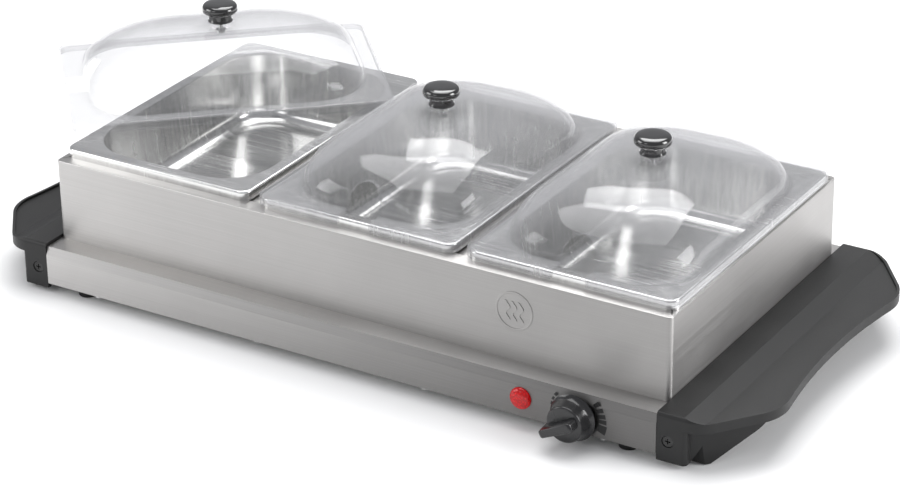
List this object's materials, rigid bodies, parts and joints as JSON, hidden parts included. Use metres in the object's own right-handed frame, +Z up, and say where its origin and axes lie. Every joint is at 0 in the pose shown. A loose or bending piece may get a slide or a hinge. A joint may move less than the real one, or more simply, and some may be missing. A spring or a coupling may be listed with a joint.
{
  "type": "electric buffet server",
  "caption": "Countertop food warmer: heated steel tray with wing handles, a lift-off frame holding pans in a row, clear domed lids, dial and red power light.",
  "frame": {"origin": "on the table under the middle of the tray's footprint", "axes": "+X along the server to the right as seen from the dial side, +Y to the back, +Z up"},
  "size_m": [0.7163, 0.371, 0.1779],
  "materials": {
    "tray_steel": "brushed, satin",
    "frame_steel": "brushed along its length, satin",
    "pan_steel": "satin polished",
    "zinc_steel": "zinc plated",
    "screw_steel": "nickel plated",
    "handle_plastic": "satin, fine grain",
    "foot_rubber": "matte",
    "heater_steel": "heat-darkened",
    "reflector_aluminium": "bright",
    "insulator_ceramic": "matte",
    "thermostat_case": "moulded phenolic",
    "tab_brass": "tinned brass",
    "lens_red": "clear red, glossy",
    "holder_nylon": "moulded nylon",
    "lamp_glass": "clear glass",
    "fuse_aluminium": "plain",
    "wire_brown": "silicone sleeve",
    "wire_blue": "silicone sleeve",
    "wire_green": "silicone sleeve",
    "gland_nylon": "moulded nylon",
    "dial_plastic": "glossy",
    "lid_clear": "clear, polished",
    "knob_black": "black, high gloss"
  },
  "bodies": {
    "tray": {"tray_shell": "tray_steel", "base_plate": "zinc_steel", "base_screws": "screw_steel", "foot_front_left": "foot_rubber", "foot_front_right": "foot_rubber", "foot_back_left": "foot_rubber", "foot_back_right": "foot_rubber", "foot_screws": "screw_steel", "handle_left": "handle_plastic", "handle_right": "handle_plastic", "corner_brackets": "zinc_steel", "bracket_rivets": "zinc_steel", "handle_screws": "screw_steel", "heating_element": "heater_steel", "element_insulators": "insulator_ceramic", "element_tabs": "tab_brass", "clamp_bars": "zinc_steel", "weld_studs": "zinc_steel", "clamp_nuts": "zinc_steel", "reflector_nuts": "zinc_steel", "heat_reflector": "reflector_aluminium", "thermostat_body": "thermostat_case", "thermostat_nut": "zinc_steel", "thermostat_tabs": "tab_brass", "indicator_lens": "lens_red", "lamp_holder": "holder_nylon", "neon_lamp": "lamp_glass", "thermal_fuse": "fuse_aluminium", "fuse_clip": "zinc_steel", "terminal_block": "insulator_ceramic", "terminal_screws": "screw_steel", "earth_stud": "zinc_steel", "earth_nut": "zinc_steel", "earth_ring": "tab_brass", "wire_live": "wire_brown", "wire_fused": "wire_brown", "wire_switched": "wire_brown", "wire_neutral": "wire_blue", "wire_earth": "wire_green", "lamp_leads": "wire_blue", "cord_gland": "gland_nylon"},
    "dial": {"control_knob": "dial_plastic", "thermostat_shaft": "zinc_steel"},
    "frame": {"frame_shell": "frame_steel", "divider_left": "frame_steel", "divider_right": "frame_steel"},
    "pan_left": {"pan_left": "pan_steel"},
    "lid_left": {"lid_left": "lid_clear", "lid_knob_left": "knob_black", "lid_screw_left": "screw_steel"},
    "pan_center": {"pan_center": "pan_steel"},
    "lid_center": {"lid_center": "lid_clear", "lid_knob_center": "knob_black", "lid_screw_center": "screw_steel"},
    "pan_right": {"pan_right": "pan_steel"},
    "lid_right": {"lid_right": "lid_clear", "lid_knob_right": "knob_black", "lid_screw_right": "screw_steel"}
  },
  "joints": [
    {"name": "dial_turn", "type": "hinge", "parent": "tray", "child": "dial", "pos_m": [0.201, -0.1534, 0.0208], "axis": [0, 1, 0], "range_deg": [0, 220]},
    {"name": "frame_lift", "type": "slide", "parent": "tray", "child": "frame", "axis": [0, 0, 1], "range_m": [0, 0.12]},
    {"name": "pan_left_lift", "type": "slide", "parent": "frame", "child": "pan_left", "axis": [0, 0, 1], "range_m": [0, 0.1]},
    {"name": "pan_center_lift", "type": "slide", "parent": "frame", "child": "pan_center", "axis": [0, 0, 1], "range_m": [0, 0.1]},
    {"name": "pan_right_lift", "type": "slide", "parent": "frame", "child": "pan_right", "axis": [0, 0, 1], "range_m": [0, 0.1]},
    {"name": "lid_left_lift", "type": "slide", "parent": "pan_left", "child": "lid_left", "axis": [0, 0, 1], "range_m": [0, 0.08]},
    {"name": "lid_center_lift", "type": "slide", "parent": "pan_center", "child": "lid_center", "axis": [0, 0, 1], "range_m": [0, 0.08]},
    {"name": "lid_right_lift", "type": "slide", "parent": "pan_right", "child": "lid_right", "axis": [0, 0, 1], "range_m": [0, 0.08]}
  ]
}
